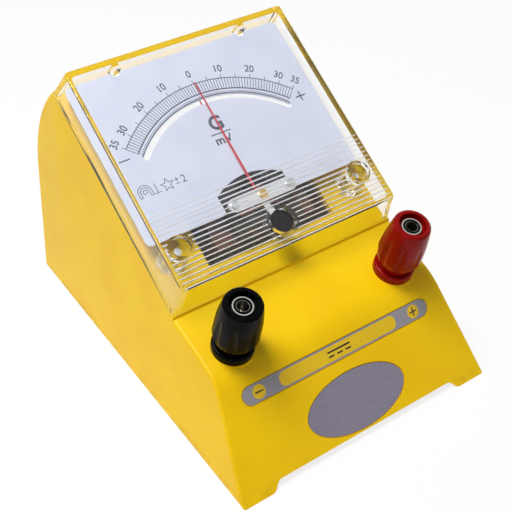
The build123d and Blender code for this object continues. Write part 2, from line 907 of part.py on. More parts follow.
with BuildPart() as pointer:
    with BuildSketch(pivot.offset(pointer_bottom)):
        Polygon(
            (-pointer_root_width / 2, 0),
            (pointer_root_width / 2, 0),
            (pointer_tip_width / 2, pointer_length),
            (-pointer_tip_width / 2, pointer_length),
            align=None,
        )
        Rectangle(2 * arm_length, arm_width)
        with Locations((0, -arm_length / 2)):
            Rectangle(arm_width, arm_length)
        Circle(pointer_ring_radius)
        Circle(staff_radius + 0.02, mode=Mode.SUBTRACT)
    extrude(amount=pointer_thickness)
save(pointer.part, "pointer")

weights = []
for turn, place in ((0, weight_place), (180, weight_place), (270, tail_weight_place)):
    across = Plane(
        origin=pivot.from_local_coords(
            (place * cos(radians(turn)), place * sin(radians(turn)), pointer_bottom + pointer_thickness / 2)
        ),
        x_dir=pivot.z_dir,
        z_dir=pivot.x_dir * cos(radians(turn)) + pivot.y_dir * sin(radians(turn)),
    )
    with BuildPart() as weight:
        with BuildSketch(across):
            Circle(weight_radius)
            Rectangle(pointer_thickness, arm_width, mode=Mode.SUBTRACT)
        extrude(amount=weight_length / 2, both=True)
    weights.append(weight.part)
save_group(weights, "balance_weights")


def hairspring(bottom, outer_turn):
    # flat spiral from a collet on the staff out to its fixed end
    growth = (spring_outer_radius - spring_inner_radius) / spring_turns
    steps = 12
    points = []
    for step in range(steps * spring_turns + 1):
        turn = 2 * pi * step / steps
        reach = spring_inner_radius + growth * step / steps
        points.append((reach * cos(turn + outer_turn), reach * sin(turn + outer_turn)))
    inner = [
        ((hypot(x, y) - spring_strip) * x / hypot(x, y), (hypot(x, y) - spring_strip) * y / hypot(x, y))
        for x, y in points
    ]
    with BuildPart() as spiral:
        with BuildSketch(pivot.offset(bottom)):
            with BuildLine():
                Spline(*points)
                Line(points[-1], inner[-1])
                Spline(*reversed(inner))
                Line(inner[0], points[0])
            make_face()
            Circle(spring_inner_radius)
            Circle(staff_radius + 0.02, mode=Mode.SUBTRACT)
        extrude(amount=spring_height)
    return spiral.part


save(hairspring(upper_spring_bottom, -pi / 2), "upper_hairspring")
save(hairspring(lower_spring_top - spring_height, -pi / 2), "lower_hairspring")

anchor_plane = moved(pivot, 0, -lever_peg_place, lower_bridge_top)
with BuildPart() as spring_anchor:
    with BuildSketch(moved(pivot, 0, -lever_peg_place / 2 - 1.2, lower_bridge_top)):
        RectangleRounded(2.6, lever_peg_place - 1.0, 0.4)
    extrude(amount=0.4)
    with BuildSketch(anchor_plane):
        Circle(lever_peg_radius)
    extrude(amount=lower_spring_top - lower_bridge_top)
save(spring_anchor.part, "spring_anchor")

# Zero adjuster: slotted screw in the cover's collar, its pin in the fork of the lever
zero_shaft_length = collar_lip + 0.1
zero_clip_top = lip_top + 0.05 - zero_shaft_length
with BuildPart() as zero_screw:
    with BuildSketch(zero_plane.offset(lip_top + 0.05)):
        Circle(zero_head_radius)
    extrude(amount=zero_head_height)
    with BuildSketch(zero_plane.offset(zero_clip_top)):
        Circle(zero_shaft_radius)
    extrude(amount=zero_shaft_length)
    with BuildSketch(zero_plane.offset(zero_clip_top - zero_clip_height)):
        Circle(zero_clip_radius)
    extrude(amount=zero_clip_height)
    with BuildSketch(moved(zero_plane, 0, zero_pin_offset, zero_clip_top - zero_clip_height)):
        Circle(zero_pin_radius)
    extrude(amount=-zero_pin_length)
    with BuildSketch(zero_plane.offset(lip_top + 0.05 + zero_head_height - zero_slot_depth)):
        Rectangle(zero_slot_width, 3 * zero_head_radius, rotation=zero_slot_turn)
    extrude(amount=2, mode=Mode.SUBTRACT)
save(zero_screw.part, "zero_screw")

zero_reach = pivot_s - zero_s - zero_pin_offset
lever_slot_half = zero_pin_radius + lever_slot_clearance
with BuildPart() as zero_lever:
    with BuildSketch(pivot.offset(lever_bottom)):
        Circle(lever_ring_radius)
        with Locations((0, -lever_end / 2)):
            Rectangle(lever_arm_width, lever_end)
        with Locations((0, -lever_end + 1.9)):
            Rectangle(lever_fork_width, 3.8)
        Circle(jewel_screw_radius + lever_bore_clearance, mode=Mode.SUBTRACT)
        with Locations((0, -zero_reach - 1.0)):
            Rectangle(2 * lever_slot_half, 2 * (1.0 + lever_slot_half + 0.4), mode=Mode.SUBTRACT)
    extrude(amount=lever_thickness)
    with BuildSketch(moved(pivot, 0, -lever_peg_place, lever_bottom)):
        Circle(lever_peg_radius)
    extrude(amount=upper_spring_bottom - lever_bottom)
save(zero_lever.part, "zero_lever")

# Terminals
cap_bottom = collar_height + cap_gap
cap_top = cap_bottom + cap_height
recess_face = cap_top - cap_recess_depth
stem_top = recess_face + stem_proud
flute_reach = cap_belly_radius + flute_radius - flute_depth
tags = []
nuts = []
spring_washers = []
tag_ends = {}
for colour, base in post_planes.items():
    upright = standing(base)
    post_axis = Axis(base.origin, base.z_dir)
    with BuildPart() as post_base:
        with BuildSketch(base):
            Circle(collar_foot_radius)
        extrude(amount=collar_foot_height)
        fillet(post_base.faces().sort_by(post_axis)[-1].edges(), 0.8)
        with BuildSketch(base):
            Circle(collar_waist_radius)
        extrude(amount=collar_height)
        with BuildSketch(base):
            Circle(stem_radius + stem_clearance)
        extrude(amount=collar_height, mode=Mode.SUBTRACT)
        with BuildSketch(base.offset(collar_height - stem_flange_height)):
            Circle(stem_flange_radius + stem_clearance)
        extrude(amount=stem_flange_height, mode=Mode.SUBTRACT)
    save(post_base.part, "post_base_" + colour)

    with BuildPart() as stem:
        with BuildSketch(base.offset(-stem_below)):
            Circle(stem_radius)
        extrude(amount=stem_below + stem_top)
        with BuildSketch(base.offset(collar_height - stem_flange_height)):
            Circle(stem_flange_radius)
        extrude(amount=stem_flange_height)
        with BuildSketch(base.offset(stem_top)):
            Circle(socket_radius)
        extrude(amount=-socket_depth, mode=Mode.SUBTRACT)
    save(stem.part, "stem_" + colour)

    save(
        disc(base.offset(collar_height), washer_radius, washer_thickness, stem_radius + stem_clearance),
        "washer_" + colour,
    )

    insert_bottom = cap_bottom + insert_lip
    insert_length = cap_top - insert_top - insert_bottom
    save(
        disc(base.offset(insert_bottom), insert_radius, insert_length, stem_radius + stem_clearance),
        "insert_" + colour,
    )

    foot = (cap_bottom_radius, cap_bottom + cap_foot_chamfer)
    shoulder = (cap_top_radius + cap_rim_chamfer / 2, cap_top - cap_rim_chamfer)
    with BuildPart() as cap:
        with BuildSketch(upright):
            with BuildLine():
                Polyline((0, cap_top), (0, cap_bottom), (cap_bottom_radius - cap_foot_chamfer, cap_bottom), foot)
                ThreePointArc(
                    foot,
                    (cap_low_arc_radius, cap_bottom + cap_low_arc_height),
                    (cap_belly_radius, cap_bottom + cap_belly_height),
                )
                ThreePointArc(
                    (cap_belly_radius, cap_bottom + cap_belly_height),
                    (cap_high_arc_radius, cap_bottom + cap_high_arc_height),
                    shoulder,
                )
                Polyline(shoulder, (shoulder[0] - cap_rim_chamfer, cap_top), (0, cap_top))
            make_face()
        revolve(axis=post_axis)
        with BuildSketch(base.offset(cap_bottom)):
            with PolarLocations(flute_reach, flute_count):
                Circle(flute_radius)
        extrude(amount=cap_height, mode=Mode.SUBTRACT)
        with BuildSketch(base.offset(recess_face)):
            Circle(cap_recess_radius)
        extrude(amount=cap_recess_depth, mode=Mode.SUBTRACT)
        with BuildSketch(base.offset(cap_bottom)):
            Circle(stem_radius + stem_clearance)
        extrude(amount=cap_height, mode=Mode.SUBTRACT)
        with BuildSketch(base.offset(insert_bottom)):
            Circle(insert_radius + 0.02)
        extrude(amount=insert_length, mode=Mode.SUBTRACT)
        with BuildSketch(base.offset(cap_bottom)):
            Circle(washer_radius + 0.2)
        extrude(amount=washer_thickness - cap_gap + 0.05, mode=Mode.SUBTRACT)
    save(cap.part, "cap_" + colour)

    nut_top = -wall - seat_depth - spring_washer_thickness
    tag_top = nut_top - nut_height
    second_nut_top = tag_top - tag_thickness
    spring_washers.append(
        disc(base.offset(nut_top), stem_radius + 1.9, spring_washer_thickness, stem_radius + stem_clearance)
    )
    for top in (nut_top, second_nut_top):
        with BuildPart() as nut:
            with BuildSketch(base.offset(top)):
                RegularPolygon(nut_flats / sqrt(3), 6)
                Circle(stem_radius + stem_clearance, mode=Mode.SUBTRACT)
            extrude(amount=-nut_height)
        nuts.append(nut.part)
    with BuildPart() as tag:
        with BuildSketch(base.offset(tag_top)):
            Circle(stem_radius + 1.7)
            with Locations((0, tag_reach / 2)):
                Rectangle(tag_width, tag_reach)
            Circle(stem_radius + stem_clearance, mode=Mode.SUBTRACT)
        extrude(amount=-tag_thickness)
    tags.append(tag.part)
    tag_ends[colour] = base.from_local_coords((0, tag_reach, tag_top - tag_thickness / 2))
save_group(nuts, "post_nuts")
save_group(tags, "solder_tags")
save_group(spring_washers, "spring_washers")

# Leads from the solder tags to the movement
bridge_end = pillar_x + bridge_overhang
lead_gap = Vector(0, 0.35, 0)


def lead_wire(points):
    path_line = FilletPolyline(*points, radius=lead_bend)
    start = Plane(origin=path_line @ 0, z_dir=path_line % 0)
    with BuildPart() as wire:
        with BuildSketch(start):
            Circle(lead_radius)
        sweep(path=path_line)
    return wire.part


black_end = pivot.from_local_coords((-bridge_end - lead_radius, 0, lower_bridge_bottom + bridge_thickness / 2))
black_start = tag_ends["black"] + lead_gap
save(
    lead_wire(
        [
            black_start,
            black_start + Vector(0, 8, -4),
            black_start + Vector(8, 20, -5),
            black_end + Vector(0, -7, -8),
            black_end,
        ]
    ),
    "lead_black",
)

anchor_foot = pivot.from_local_coords((0, -lever_peg_place - 2.1, lower_bridge_top + 0.2))
resistor_middle = anchor_foot + Vector(16, -6, -8)
resistor_axis = Vector(-1, 0.35, 0).normalized()
red_start = tag_ends["red"] + lead_gap
resistor_plane = Plane(origin=resistor_middle, z_dir=resistor_axis)
save(disc(resistor_plane.offset(-resistor_length / 2), resistor_radius, resistor_length), "series_resistor")
resistor_out = resistor_middle + resistor_axis * (resistor_length / 2)
resistor_in = resistor_middle - resistor_axis * (resistor_length / 2)
save_group(
    [
        lead_wire(
            [
                red_start,
                red_start + Vector(0, 8, -4),
                resistor_in - resistor_axis * 7,
                resistor_in,
            ]
        ),
        lead_wire(
            [
                resistor_out,
                resistor_out + resistor_axis * 5,
                anchor_foot,
            ]
        ),
    ],
    "lead_red",
)

# Plates on the front face
with BuildPart() as label_bar:
    with BuildSketch(front_face.offset(-plate_pocket_depth)):
        with Locations((0, label_up)):
            RectangleRounded(2 * label_half_width, label_height, label_height / 2 - 0.01)
    extrude(amount=label_thickness)
save(label_bar.part, "label_bar")

with BuildPart() as badge:
    with BuildSketch(front_face.offset(-plate_pocket_depth)):
        with Locations((0, badge_up)):
            Ellipse(badge_half_width, badge_half_height)
    extrude(amount=label_thickness)
save(badge.part, "badge")

print("pivot point", pivot.origin)
print("pivot axis", pivot.z_dir)
print("zero screw point", zero_plane.origin, "lever ratio", -zero_pin_offset / zero_reach)
for colour, base in post_planes.items():
    print(colour, "socket mouth", base.from_local_coords((0, 0, stem_top)), "axis", base.z_dir)
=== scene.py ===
import json
import math

import bmesh
import bpy
from mathutils import Matrix, Vector


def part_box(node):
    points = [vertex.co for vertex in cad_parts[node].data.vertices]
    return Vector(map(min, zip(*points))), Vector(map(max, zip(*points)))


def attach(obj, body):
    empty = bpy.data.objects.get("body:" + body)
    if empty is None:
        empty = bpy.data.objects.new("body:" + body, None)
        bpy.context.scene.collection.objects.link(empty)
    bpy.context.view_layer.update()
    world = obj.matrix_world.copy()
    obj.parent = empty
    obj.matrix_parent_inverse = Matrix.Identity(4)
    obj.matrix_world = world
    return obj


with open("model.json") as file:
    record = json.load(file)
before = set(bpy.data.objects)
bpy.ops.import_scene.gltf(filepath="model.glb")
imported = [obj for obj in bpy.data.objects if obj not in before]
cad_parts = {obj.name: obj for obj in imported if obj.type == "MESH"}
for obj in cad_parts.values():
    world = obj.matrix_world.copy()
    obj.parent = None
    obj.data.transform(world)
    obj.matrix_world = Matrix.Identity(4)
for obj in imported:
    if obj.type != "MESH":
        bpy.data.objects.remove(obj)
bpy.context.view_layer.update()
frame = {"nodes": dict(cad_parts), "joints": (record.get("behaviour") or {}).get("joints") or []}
nodes = frame["nodes"]
joints = {joint["name"]: joint for joint in frame["joints"]}
print("frame loaded:", len(nodes), "nodes")

mm = 0.001
full = (1.0, 1.0, 1.0, 1.0)

# The camera stands where the photograph was taken from
cameraView = {
    "place": (-0.14267, -0.21917, 0.24754),
    "across": (0.82625, -0.56315, -0.01319),
    "up": (0.36994, 0.52481, 0.76662),
    "lens": 67.39,
    "sensor": 36.0,
}


def frameOf(origin, across, up):
    # place and axes of flat work: x across, y up, z out of the face
    across = Vector(across).normalized()
    out = across.cross(Vector(up)).normalized()
    up = out.cross(across)
    return Matrix.Translation(origin) @ Matrix((across, up, out)).transposed().to_4x4()


cameraData = bpy.data.cameras.new("camera")
cameraData.lens = cameraView["lens"]
cameraData.sensor_width = cameraView["sensor"]
cameraData.clip_start = 0.01
cameraData.clip_end = 20
camera = bpy.data.objects.new("camera", cameraData)
bpy.context.scene.collection.objects.link(camera)
camera.matrix_world = frameOf(cameraView["place"], cameraView["across"], cameraView["up"])
bpy.context.scene.camera = camera

# Frames of the faces that carry printing
axisOut = Vector(joints["pointer_swing"]["axis"]).normalized()
pivotPoint = Vector(joints["pointer_swing"]["pos_m"])
panelUp = axisOut.cross(Vector((1, 0, 0)))
panel = frameOf(pivotPoint, (1, 0, 0), panelUp)


def reach(node, direction, origin=(0, 0, 0)):
    # how far a node's mesh reaches along a direction
    direction = Vector(direction)
    offset = Vector(origin).dot(direction)
    return max(v.co.dot(direction) for v in nodes[node].data.vertices) - offset


def midPoint(node):
    low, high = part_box(node)
    return (low + high) / 2


frontFace = {"angle": 53.3}
frontTurn = math.radians(frontFace["angle"])
frontUp = Vector((0, math.cos(frontTurn), math.sin(frontTurn)))
frontOut = Vector((0, -math.sin(frontTurn), math.cos(frontTurn)))


def faceOf(node, up, out):
    # frame on the top of a thin plate, at its middle
    middle = midPoint(node)
    middle += out * (reach(node, out) - middle.dot(out))
    return frameOf(middle, (1, 0, 0), up)


print("faces found")


# Shader maths written as Python
class Wire:
    def __init__(self, finish, made, output):
        self.finish = finish
        self.made = made
        self.socket = made.outputs[output]

    def other(self, output):
        return Wire(self.finish, self.made, output)

    def maths(self, operation, first, second=0.0):
        settings = {"operation": operation}
        return self.finish.node("ShaderNodeMath", settings, {0: first, 1: second})

    def __add__(self, value):
        return self.maths("ADD", self, value)

    def __radd__(self, value):
        return self.maths("ADD", value, self)

    def __sub__(self, value):
        return self.maths("SUBTRACT", self, value)

    def __rsub__(self, value):
        return self.maths("SUBTRACT", value, self)

    def __mul__(self, value):
        return self.maths("MULTIPLY", self, value)

    def __rmul__(self, value):
        return self.maths("MULTIPLY", value, self)

    def __pow__(self, value):
        return self.maths("POWER", self, value)

    def atLeast(self, value):
        return self.maths("MAXIMUM", self, value)

    def sine(self):
        return self.maths("SINE", self)

    def rise(self, start, end):
        # 0 before start, 1 after end
        settings = {"interpolation_type": "SMOOTHSTEP"}
        values = {"Value": self, "From Min": start, "From Max": end}
        return self.finish.node("ShaderNodeMapRange", settings, values)


class Finish:
    def __init__(self, owner):
        # owner is a new material or world
        self.owner = owner
        owner.use_nodes = True
        self.tree = owner.node_tree
        self.tree.nodes.clear()

    def node(self, kind, settings=None, values=None, output=0):
        made = self.tree.nodes.new(kind)
        for name, value in (settings or {}).items():
            setattr(made, name, value)
        for name, value in (values or {}).items():
            if isinstance(value, Wire):
                self.tree.links.new(value.socket, made.inputs[name])
            else:
                made.inputs[name].default_value = value
        return Wire(self, made, output)

    def place(self):
        return self.node("ShaderNodeTexCoord", output="Object")

    def noise(self, size, detail=2.0, rough=0.5, stretch=None):
        # cloudy pattern whose blotches are about size metres across
        place = self.place()
        if stretch:
            place = self.node("ShaderNodeMapping", {}, {"Vector": place, "Scale": stretch})
        values = {"Vector": place, "Scale": 1.0 / size, "Detail": detail, "Roughness": rough}
        return self.node("ShaderNodeTexNoise", {}, values)

    def mixed(self, share, first, second):
        # colour between two colours
        settings = {"data_type": "RGBA"}
        return self.node("ShaderNodeMix", settings, {0: share, 6: first, 7: second}, 2)

    def along(self, direction, origin=(0, 0, 0)):
        # distance along a direction, in metres
        settings = {"operation": "DOT_PRODUCT"}
        values = {0: self.place(), 1: tuple(direction)}
        distance = self.node("ShaderNodeVectorMath", settings, values, "Value")
        return distance - Vector(origin).dot(Vector(direction))

    def bump(self, height, depth):
        return self.node("ShaderNodeBump", {}, {"Height": height, "Distance": depth})

    def principled(self, values):
        return self.node("ShaderNodeBsdfPrincipled", {}, values)

    def shaderMix(self, share, first, second):
        return self.node("ShaderNodeMixShader", {}, {0: share, 1: first, 2: second})

    def done(self, shader, output="ShaderNodeOutputMaterial"):
        end = self.tree.nodes.new(output)
        self.tree.links.new(shader.socket, end.inputs["Surface"])
        return self.owner


def materialFinish(name):
    return Finish(bpy.data.materials.new(name))


def tone(red, green, blue):
    # screen colour, 0 to 255, to the renderer's linear one
    def linear(part):
        part = part / 255
        return part / 12.92 if part <= 0.04045 else ((part + 0.055) / 1.055) ** 2.4

    return (linear(red), linear(green), linear(blue), 1.0)


# Yellow moulded plastic of the case, with a fine spark-eroded grain, darker and rougher in blotches
# towards the foot
yellowPlastic = {
    "colour": tone(250, 206, 2),
    "deep": tone(246, 198, 0),
    "footDark": tone(150, 118, 30),
    "cloudSize": 22 * mm,
    "rubSize": 6 * mm,
    "rubShare": 0.12,
    "footDarkHeight": 5 * mm,
    "footDarkShare": 0.35,
    "footDarkRoughness": 0.3,
    "grain": 0.35 * mm,
    "grainDepth": 0.012 * mm,
    "roughness": 0.42,
    "sheen": 0.22,
}


def makeYellow():
    finish = materialFinish("yellowPlastic")
    plastic = yellowPlastic
    cloud = finish.noise(plastic["cloudSize"], 3)
    grain = finish.noise(plastic["grain"], 2)
    rub = finish.noise(plastic["rubSize"], 4, 0.6)
    height = finish.along((0, 0, 1))
    # darker, rougher blotches in the lowest few millimetres, towards the foot
    low = 1 - height.rise(0.0, plastic["footDarkHeight"])
    footDark = low * rub.rise(0.4, 0.7) * plastic["footDarkShare"]
    colour = finish.mixed(cloud.rise(0.35, 0.7), plastic["colour"], plastic["deep"])
    rough = plastic["roughness"] + (rub - 0.5) * plastic["rubShare"] + footDark * plastic["footDarkRoughness"]
    shader = finish.principled({
        "Base Color": finish.mixed(footDark, colour, plastic["footDark"]),
        "Roughness": rough,
        "Normal": finish.bump(grain, plastic["grainDepth"]),
        "Specular IOR Level": plastic["sheen"],
    })
    return finish.done(shader)


# Clear acrylic; the rib crests are painted opaque white, a painted highlight standing in for the glints
# on the ribs
clearAcrylic = {
    "tint": tone(254, 254, 253),
    "shadowTint": tone(244, 246, 249),
    "roughness": 0.015,
    "ior": 1.49,
    "scuffSize": 9 * mm,
    "scuffRoughness": 0.03,
    "ribHeight": 0.3 * mm,
    "ribGlint": tone(252, 252, 255),
    "ribGlintRoughness": 0.3,
    "ribGlintStart": 0.04 * mm,
    "ribGlintFull": 0.16 * mm,
    "ribGlintShare": 0.84,
}


def makeClear():
    finish = materialFinish("clearAcrylic")
    acrylic = clearAcrylic
    scuff = finish.noise(acrylic["scuffSize"], 4, 0.65).rise(0.62, 0.8)
    top = reach("front_cover", axisOut) - acrylic["ribHeight"]
    above = finish.along(axisOut) - top
    # mask of the rib crests, which get the painted white highlight
    ribGlint = above.rise(acrylic["ribGlintStart"], acrylic["ribGlintFull"])
    glass = finish.principled({
        "Base Color": acrylic["tint"],
        "Roughness": acrylic["roughness"] + scuff * acrylic["scuffRoughness"],
        "Transmission Weight": 1.0,
        "IOR": acrylic["ior"],
    })
    # opaque white for the rib crests: painted highlight, not a real finish
    white = finish.principled({
        "Base Color": acrylic["ribGlint"],
        "Roughness": acrylic["ribGlintRoughness"],
    })
    body = finish.shaderMix(ribGlint * acrylic["ribGlintShare"], glass, white)
    path = finish.node("ShaderNodeLightPath", output="Is Shadow Ray")
    passes = path.atLeast(path.other("Is Diffuse Ray"))
    through = finish.node("ShaderNodeBsdfTransparent", {}, {"Color": acrylic["shadowTint"]})
    return finish.done(finish.shaderMix(passes, body, through))


# Pale lavender paint of the dial
dialPaint = {
    "colour": tone(226, 229, 243),
    "shade": tone(218, 221, 238),
    "cloudSize": 14 * mm,
    "grain": 0.22 * mm,
    "grainDepth": 0.004 * mm,
    "roughness": 0.42,
}


def makeDialPaint():
    finish = materialFinish("dialPaint")
    cloud = finish.noise(dialPaint["cloudSize"], 3).rise(0.3, 0.75)
    grain = finish.noise(dialPaint["grain"], 2)
    shader = finish.principled({
        "Base Color": finish.mixed(cloud, dialPaint["colour"], dialPaint["shade"]),
        "Roughness": dialPaint["roughness"] + (grain - 0.5) * 0.1,
        "Normal": finish.bump(grain, dialPaint["grainDepth"]),
    })
    return finish.done(shader)


# Printing ink, a little thin in places
ink = {"patchSize": 0.5 * mm, "depth": 0.003 * mm, "paleShare": 0.25, "paleGrey": 0.6, "thinShare": 0.5}
inks = {
    "ink": {"name": "dialInk", "colour": tone(52, 57, 76), "roughness": 0.5},
    "softInk": {"name": "paleInk", "colour": tone(70, 74, 94), "roughness": 0.5},
    "labelInk": {"name": "labelInk", "colour": tone(28, 24, 22), "roughness": 0.4},
}


def makeInk(name, colour, roughness):
    finish = materialFinish(name)
    thin = finish.noise(ink["patchSize"], 3, 0.6)
    kept = 1 - ink["paleShare"]
    pale = tuple(kept * part + ink["paleShare"] * ink["paleGrey"] for part in colour[:3]) + (1.0,)
    shader = finish.principled({
        "Base Color": finish.mixed(thin.rise(0.55, 0.85) * ink["thinShare"], colour, pale),
        "Roughness": roughness + (thin - 0.5) * 0.2,
        "Normal": finish.bump(thin, ink["depth"]),
    })
    return finish.done(shader)


# Moulded pieces: colour, its cloudier tone, gloss and grain
moulded = {
    "blackMoulded": {
        "name": "blackMoulded", "colour": tone(24, 24, 26), "worn": tone(36, 36, 38),
        "roughness": 0.42, "grain": 0.3 * mm, "depth": 0.01 * mm, "sheen": 0.3,
    },
    "blackCap": {
        "name": "blackCap", "colour": tone(4, 4, 5), "worn": tone(9, 9, 10),
        "roughness": 0.24, "grain": 0.25 * mm, "depth": 0.008 * mm, "sheen": 0.05,
    },
    "redCap": {
        "name": "redCap", "colour": tone(142, 6, 3), "worn": tone(118, 3, 1),
        "roughness": 0.24, "grain": 0.25 * mm, "depth": 0.006 * mm, "sheen": 0.12,
    },
    "zeroBlack": {
        "name": "zeroBlack", "colour": tone(22, 22, 24), "worn": tone(34, 34, 36),
        "roughness": 0.26, "grain": 0.3 * mm, "depth": 0.006 * mm,
    },
    "pointerRed": {
        "name": "pointerRed", "colour": tone(214, 40, 62), "worn": tone(190, 26, 44),
        "roughness": 0.35, "grain": 0.3 * mm, "depth": 0.004 * mm,
    },
    "lacquer": {
        "name": "magnetLacquer", "colour": tone(92, 44, 36), "worn": tone(62, 28, 24),
        "roughness": 0.4, "grain": 0.5 * mm, "depth": 0.03 * mm,
    },
    "foam": {
        "name": "foamPad", "colour": tone(226, 226, 216), "worn": tone(206, 206, 196),
        "roughness": 0.85, "grain": 0.2 * mm, "depth": 0.05 * mm,
    },
    "leadBlack": {
        "name": "blackInsulation", "colour": tone(24, 24, 26), "worn": tone(40, 40, 42),
        "roughness": 0.5, "grain": 0.4 * mm, "depth": 0.01 * mm,
    },
    "leadRed": {
        "name": "redInsulation", "colour": tone(178, 24, 20), "worn": tone(150, 18, 16),
        "roughness": 0.5, "grain": 0.4 * mm, "depth": 0.01 * mm,
    },
    "resistor": {
        "name": "resistorBody", "colour": tone(186, 160, 112), "worn": tone(160, 132, 88),
        "roughness": 0.45, "grain": 0.3 * mm, "depth": 0.01 * mm,
    },
}
mouldedCloud = 5 * mm


def makeMoulded(name, colour, worn, roughness, grain, depth, sheen=0.5):
    finish = materialFinish(name)
    cloud = finish.noise(mouldedCloud, 4, 0.6)
    fine = finish.noise(grain, 3)
    shader = finish.principled({
        "Base Color": finish.mixed(cloud.rise(0.45, 0.8), colour, worn),
        "Roughness": roughness + (cloud - 0.5) * 0.16 + (fine - 0.5) * 0.06,
        "Specular IOR Level": sheen,
        "Normal": finish.bump(fine, depth),
    })
    return finish.done(shader)


# Bare and plated metals with fine tool marks and a breath of tarnish
metal = {"markSize": 0.18 * mm, "markDepth": 0.004 * mm, "tarnishSize": 2.5 * mm}
metals = {
    "nickel": {"name": "nickelPlate", "colour": tone(222, 220, 214), "dark": tone(170, 164, 150),
               "roughness": 0.16},
    "mirror": {"name": "mirrorStrip", "colour": tone(252, 252, 254), "dark": tone(240, 241, 245),
               "roughness": 0.12, "stain": 0.05},
    "brass": {"name": "turnedBrass", "colour": tone(214, 178, 102), "dark": tone(150, 112, 54),
              "roughness": 0.28},
    "steel": {"name": "zincSteel", "colour": tone(190, 192, 196), "dark": tone(120, 120, 118),
              "roughness": 0.34},
    "iron": {"name": "softIron", "colour": tone(96, 96, 100), "dark": tone(58, 50, 46),
             "roughness": 0.48, "stain": 0.5},
    "aluminium": {"name": "thinAluminium", "colour": tone(214, 216, 220), "dark": tone(160, 162, 166),
                  "roughness": 0.3},
    "bronze": {"name": "springBronze", "colour": tone(206, 150, 90), "dark": tone(140, 92, 48),
               "roughness": 0.26},
}


def makeMetal(name, colour, dark, roughness, stain=0.25):
    finish = materialFinish(name)
    marks = finish.noise(metal["markSize"], 3, 0.6)
    tarnish = finish.noise(metal["tarnishSize"], 4, 0.6).rise(0.5, 0.8) * stain
    shader = finish.principled({
        "Base Color": finish.mixed(tarnish, colour, dark),
        "Metallic": 1.0,
        "Roughness": roughness + (marks - 0.5) * 0.15 + tarnish * 0.25,
        "Normal": finish.bump(marks, metal["markDepth"]),
    })
    return finish.done(shader)


# Enamelled wire laid round the former, turn beside turn
winding = {
    "pitch": 0.16 * mm,
    "depth": 0.03 * mm,
    "cloudSize": 1.6 * mm,
    "colour": tone(186, 98, 48),
    "dark": tone(140, 62, 26),
    "enamel": 0.6,
}


def makeWinding():
    finish = materialFinish("copperWinding")
    turns = (finish.along(axisOut) * (2 * math.pi / winding["pitch"])).sine()
    cloud = finish.noise(winding["cloudSize"], 3)
    shader = finish.principled({
        "Base Color": finish.mixed(cloud.rise(0.4, 0.7), winding["colour"], winding["dark"]),
        "Metallic": 0.85,
        "Roughness": 0.32 + (cloud - 0.5) * 0.2,
        "Coat Weight": winding["enamel"],
        "Normal": finish.bump(turns * 0.5 + 0.5, winding["depth"]),
    })
    return finish.done(shader)


# Printed plastic film of the front labels, with a faint brushed grain
film = {
    "grain": 0.3 * mm,
    "stretch": (0.06, 1, 1),
    "depth": 0.004 * mm,
    "cloudSize": 8 * mm,
    "roughness": 0.34,
}
films = {
    "greyFilm": {"colour": tone(152, 150, 156), "shade": tone(138, 136, 144)},
    "badgeFilm": {"colour": tone(140, 134, 150), "shade": tone(126, 120, 138)},
    "yellowFilm": {"colour": tone(236, 196, 14), "shade": tone(228, 186, 10)},
}


def makeFilm(name, colour, shade):
    finish = materialFinish(name)
    brushed = finish.noise(film["grain"], 3, 0.6, film["stretch"])
    cloud = finish.noise(film["cloudSize"], 3)
    shader = finish.principled({
        "Base Color": finish.mixed(brushed.rise(0.3, 0.8), colour, shade),
        "Roughness": film["roughness"] + (cloud - 0.5) * 0.12,
        "Normal": finish.bump(brushed, film["depth"]),
    })
    return finish.done(shader)


finishes = {
    "yellow": makeYellow(),
    "clear": makeClear(),
    "dial": makeDialPaint(),
    "copper": makeWinding(),
}
for key, setting in inks.items():
    finishes[key] = makeInk(**setting)
for key, setting in moulded.items():
    finishes[key] = makeMoulded(**setting)
for key, setting in metals.items():
    finishes[key] = makeMetal(**setting)
for key, setting in films.items():
    finishes[key] = makeFilm(key, **setting)
nodeFinish = {
    "yellow": ["case_shell", "base_plate"],
    "clear": ["front_cover"],
    "dial": ["dial_plate"],
    "blackMoulded": ["movement_frame"],
    "blackCap": ["cap_black", "post_base_black"],
    "redCap": ["cap_red", "post_base_red"],
    "zeroBlack": ["zero_screw"],
    "pointerRed": ["pointer"],
    "nickel": ["stem_black", "stem_red", "washer_black", "washer_red"],
    "brass": ["insert_black", "insert_red", "post_nuts", "pointer_hub", "balance_weights",
              "upper_jewel_screw", "lower_jewel_screw", "core_bracket", "upper_pillars",
              "lower_pillars"],
    "steel": ["base_screws", "cover_screws", "movement_screws", "core_screws", "bridge_screws",
              "spring_washers", "solder_tags", "staffs"],
    "iron": ["pole_shoes", "core"],
    "aluminium": ["coil_former", "upper_bridge", "lower_bridge", "zero_lever"],
    "bronze": ["upper_hairspring", "lower_hairspring", "spring_anchor"],
    "lacquer": ["magnet"],
    "mirror": ["mirror_strip"],
    "copper": ["coil_winding"],
    "foam": ["dial_pads"],
    "leadBlack": ["lead_black"],
    "leadRed": ["lead_red"],
    "resistor": ["series_resistor"],
    "greyFilm": ["label_bar"],
    "badgeFilm": ["badge"],
}
finished = set()
for finishName, members in nodeFinish.items():
    for member in members:
        mesh = nodes[member].data
        mesh.materials.clear()
        mesh.materials.append(finishes[finishName])
        finished.add(member)
print("finishes on", len(finished), "nodes; left:", sorted(set(nodes) - finished))


# Printing: thin flat work in a face's own millimetres, standing on the face or lifted off it
weldDistance = 0.0001


